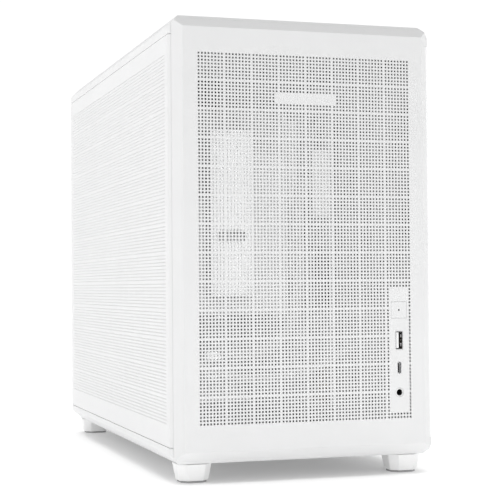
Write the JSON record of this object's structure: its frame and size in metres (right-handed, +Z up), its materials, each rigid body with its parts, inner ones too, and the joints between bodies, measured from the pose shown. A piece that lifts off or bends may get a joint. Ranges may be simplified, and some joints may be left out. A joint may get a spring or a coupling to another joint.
{
  "type": "desktop computer tower",
  "caption": "Compact white sheet-metal desktop computer tower with finely perforated panels, front sockets and working parts inside.",
  "frame": {"origin": "middle of the footprint, on the surface that the rubber feet rest on", "axes": "+X to the right seen from the front, +Y to the rear, +Z up"},
  "size_m": [0.194, 0.38, 0.3198],
  "materials": {
    "white_paint": "fine matt powder coat",
    "white_plastic": "satin moulded",
    "foot_rubber": "matt",
    "light_steel": "satin",
    "nickel_steel": "nickel plated",
    "aluminium": "satin anodised",
    "black_plastic": "satin moulded",
    "circuit_board": "semi-gloss solder mask",
    "cable_jacket": "satin"
  },
  "bodies": {
    "chassis": {"base_pan": "white_paint", "rear_plate": "white_paint", "motherboard_tray": "white_paint", "front_frame": "white_paint", "top_frame": "white_paint", "foot_front_left": "white_plastic", "foot_pad_front_left": "foot_rubber", "foot_front_right": "white_plastic", "foot_pad_front_right": "foot_rubber", "foot_rear_left": "white_plastic", "foot_pad_rear_left": "foot_rubber", "foot_rear_right": "white_plastic", "foot_pad_rear_right": "foot_rubber", "slot_cover_1": "light_steel", "slot_cover_2": "light_steel", "slot_cover_3": "light_steel", "slot_cover_4": "light_steel", "io_bracket": "light_steel", "io_board": "circuit_board", "usb_a_port": "nickel_steel", "usb_c_port": "nickel_steel", "audio_jack": "black_plastic", "power_switch": "black_plastic", "rear_fan_frame": "white_plastic", "cooler_fan_frame": "white_plastic", "psu_bracket": "white_paint", "psu_housing": "white_paint", "psu_fan_grille": "nickel_steel", "psu_inlet": "black_plastic", "motherboard": "circuit_board", "cpu_socket": "nickel_steel", "cooler_heatsink": "aluminium", "vrm_heatsink": "aluminium", "chipset_heatsink": "aluminium", "ssd_heatsink": "aluminium", "pcie_slot": "white_plastic", "ram_slot_1": "white_plastic", "ram_stick_1": "aluminium", "ram_slot_2": "white_plastic", "ram_stick_2": "aluminium", "atx_connector": "white_plastic", "eps_connector": "white_plastic", "io_shield": "nickel_steel", "rear_port_block": "nickel_steel", "mains_inlet": "black_plastic", "mains_plug": "black_plastic", "mains_lead": "cable_jacket", "board_power_cable": "cable_jacket", "cpu_power_cable": "cable_jacket", "front_ports_cable": "cable_jacket"},
    "front_panel": {"front_panel": "white_paint"},
    "side_panel_left": {"side_panel_left": "white_paint"},
    "side_panel_right": {"side_panel_right": "white_paint"},
    "top_panel": {"top_panel": "white_paint"},
    "power_button": {"power_button": "white_plastic"},
    "rear_fan": {"rear_fan_rotor": "white_plastic"},
    "cooler_fan": {"cooler_fan_rotor": "white_plastic"},
    "psu_fan": {"psu_fan_rotor": "white_plastic"},
    "psu_switch": {"psu_switch": "black_plastic"}
  },
  "joints": [
    {"name": "front_panel_pull", "type": "slide", "parent": "chassis", "child": "front_panel", "axis": [0, -1, 0], "range_m": [0, 0.08]},
    {"name": "side_panel_left_pull", "type": "slide", "parent": "chassis", "child": "side_panel_left", "axis": [-1, 0, 0], "range_m": [0, 0.08]},
    {"name": "side_panel_right_pull", "type": "slide", "parent": "chassis", "child": "side_panel_right", "axis": [1, 0, 0], "range_m": [0, 0.08]},
    {"name": "top_panel_lift", "type": "slide", "parent": "chassis", "child": "top_panel", "axis": [0, 0, 1], "range_m": [0, 0.06]},
    {"name": "power_button_press", "type": "slide", "parent": "chassis", "child": "power_button", "axis": [0, 1, 0], "range_m": [0, 0.0012], "stiffness_N_per_m": 600, "springref_m": -0.0005},
    {"name": "rear_fan_spin", "type": "hinge", "parent": "chassis", "child": "rear_fan", "pos_m": [-0.034, 0.176, 0.215], "axis": [0, 1, 0], "continuous": true},
    {"name": "cooler_fan_spin", "type": "hinge", "parent": "chassis", "child": "cooler_fan", "pos_m": [-0.028, 0.0555, 0.215], "axis": [0, 1, 0], "continuous": true},
    {"name": "psu_fan_spin", "type": "hinge", "parent": "chassis", "child": "psu_fan", "pos_m": [-0.0815, -0.093, 0.185], "axis": [1, 0, 0], "continuous": true},
    {"name": "psu_switch_rock", "type": "hinge", "parent": "chassis", "child": "psu_switch", "pos_m": [-0.03, -0.143, 0.2525], "axis": [0, 1, 0], "range_deg": [0, 16]}
  ]
}
